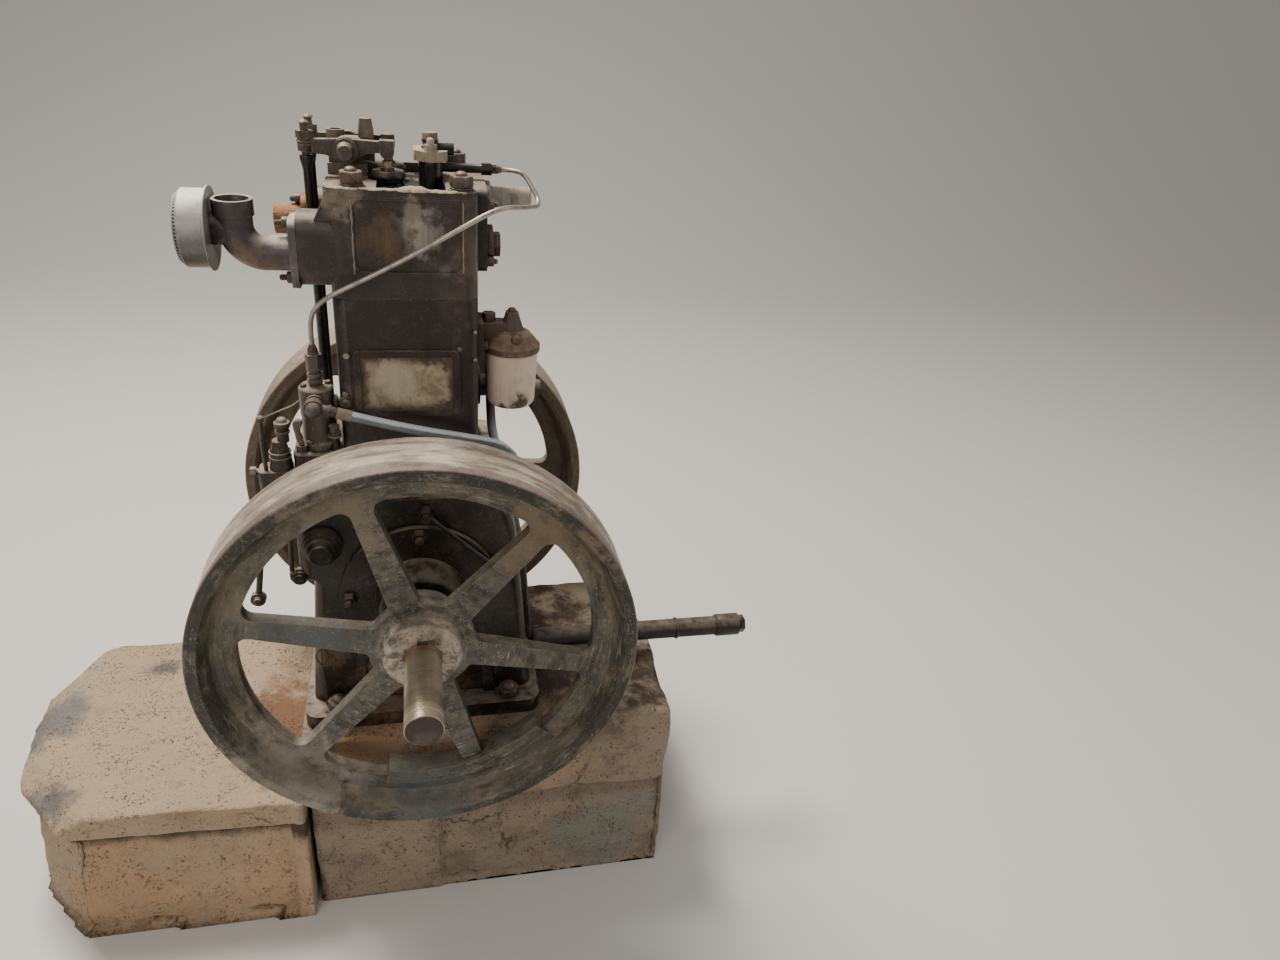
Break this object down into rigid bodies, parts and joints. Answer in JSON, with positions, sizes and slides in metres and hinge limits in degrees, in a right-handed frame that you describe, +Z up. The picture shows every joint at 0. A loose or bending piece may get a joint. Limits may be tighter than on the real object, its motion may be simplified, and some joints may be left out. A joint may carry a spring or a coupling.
{
  "type": "stationary diesel engine",
  "caption": "Slow-speed vertical water-cooled diesel engine with two spoked flywheels, open valve gear, fuel pump and air filter, bolted to a concrete plinth.",
  "frame": {"origin": "on the ground, under the cylinder axis and the middle of the crankshaft", "axes": "+Z up, +Y along the crankshaft away from the free output end, +X from the valve gear side to the filter side"},
  "size_m": [1.242, 0.87, 1.244],
  "materials": {
    "concrete": "rough broken concrete with earth and oil stains",
    "cast_paint": "dark worn engine paint with oil and dust",
    "head_iron": "bare grey-brown casting with rust and soot",
    "wheel_iron": "worn grey-green paint over rusty casting",
    "bright_steel": "turned steel with brown film",
    "dark_steel": "oily dark steel",
    "nut_steel": "rusty oily steel",
    "pipe_steel": "dull grey drawn steel",
    "door_sheet": "weathered tan sheet",
    "gasket": "compressed fibre",
    "filter_grey": "dusty grey paint",
    "elbow_plastic": "dusty grey casting",
    "rusty_pipe": "orange rust",
    "pvc": "grey plastic pipe",
    "bowl": "dusty pale bowl",
    "hose": "blue-grey hose with dust",
    "spring_steel": "oily spring steel"
  },
  "bodies": {
    "root": {"plinth_block": "concrete", "lower_slab": "concrete", "foundation_bolts": "nut_steel", "crankcase": "cast_paint", "front_bearing_housing": "cast_paint", "rear_bearing_housing": "cast_paint", "crankcase_door": "cast_paint", "drain_pipe": "dark_steel", "camshaft_cover": "cast_paint", "oil_pipe": "dark_steel", "cylinder_block": "cast_paint", "jacket_door": "door_sheet", "water_inlet_elbow": "cast_paint", "head_gasket": "gasket", "cylinder_head": "head_iron", "head_nuts": "nut_steel", "head_side_plate": "head_iron", "chamber_plug": "nut_steel", "water_outlet": "pvc", "rocker_pedestal": "nut_steel", "rocker_shaft": "nut_steel", "inlet_valve_spring": "spring_steel", "exhaust_valve_spring": "spring_steel", "injector": "dark_steel", "injector_clamp": "nut_steel", "injector_pipe": "pipe_steel", "intake_elbow": "elbow_plastic", "air_filter": "filter_grey", "exhaust_stub": "rusty_pipe", "tappet_housing": "cast_paint", "fuel_pump": "nut_steel", "pump_union": "nut_steel", "fuel_inlet_union": "nut_steel", "fuel_hose": "hose", "fuel_filter_bowl": "bowl", "fuel_filter_head": "rusty_pipe", "governor_lever": "dark_steel"},
    "crank": {"crankshaft": "bright_steel", "front_flywheel": "wheel_iron", "front_wheel_key": "dark_steel", "rear_flywheel": "wheel_iron", "rear_wheel_key": "dark_steel", "drive_pulley": "wheel_iron"},
    "inlet_rocker": {"inlet_rocker": "nut_steel"},
    "exhaust_rocker": {"exhaust_rocker": "nut_steel"},
    "inlet_pushrod": {"inlet_pushrod": "dark_steel"},
    "exhaust_pushrod": {"exhaust_pushrod": "dark_steel"},
    "inlet_valve": {"inlet_valve": "dark_steel"},
    "exhaust_valve": {"exhaust_valve": "dark_steel"}
  },
  "joints": [
    {"name": "crank_spin", "type": "hinge", "parent": "root", "child": "crank", "pos_m": [0, 0, 0.59], "axis": [0, -1, 0], "continuous": true},
    {"name": "inlet_rocker_swing", "type": "hinge", "parent": "root", "child": "inlet_rocker", "pos_m": [-0.075, -0.027, 1.208], "axis": [0, 1, 0], "range_deg": [0, 9], "stiffness_Nm_per_rad": 2, "springref_deg": -5.73},
    {"name": "inlet_pushrod_lift", "type": "slide", "parent": "root", "child": "inlet_pushrod", "axis": [0, 0, 1], "range_m": [0, 0.009], "stiffness_N_per_m": 30, "springref_m": 0.1},
    {"name": "inlet_valve_lift", "type": "slide", "parent": "root", "child": "inlet_valve", "axis": [0, 0, -1], "range_m": [0, 0.009], "deforming": ["inlet_valve_spring"]},
    {"name": "exhaust_rocker_swing", "type": "hinge", "parent": "root", "child": "exhaust_rocker", "pos_m": [-0.075, 0.027, 1.208], "axis": [0, 1, 0], "range_deg": [0, 9], "stiffness_Nm_per_rad": 2, "springref_deg": -5.73},
    {"name": "exhaust_pushrod_lift", "type": "slide", "parent": "root", "child": "exhaust_pushrod", "axis": [0, 0, 1], "range_m": [0, 0.009], "stiffness_N_per_m": 30, "springref_m": 0.1},
    {"name": "exhaust_valve_lift", "type": "slide", "parent": "root", "child": "exhaust_valve", "axis": [0, 0, -1], "range_m": [0, 0.009], "deforming": ["exhaust_valve_spring"]}
  ],
  "couplings": [
    {"joint": "inlet_pushrod_lift", "follows": "inlet_rocker_swing", "m_per_rad": 0.049},
    {"joint": "inlet_valve_lift", "follows": "inlet_rocker_swing", "m_per_rad": 0.051},
    {"joint": "exhaust_pushrod_lift", "follows": "exhaust_rocker_swing", "m_per_rad": 0.049},
    {"joint": "exhaust_valve_lift", "follows": "exhaust_rocker_swing", "m_per_rad": 0.051}
  ]
}
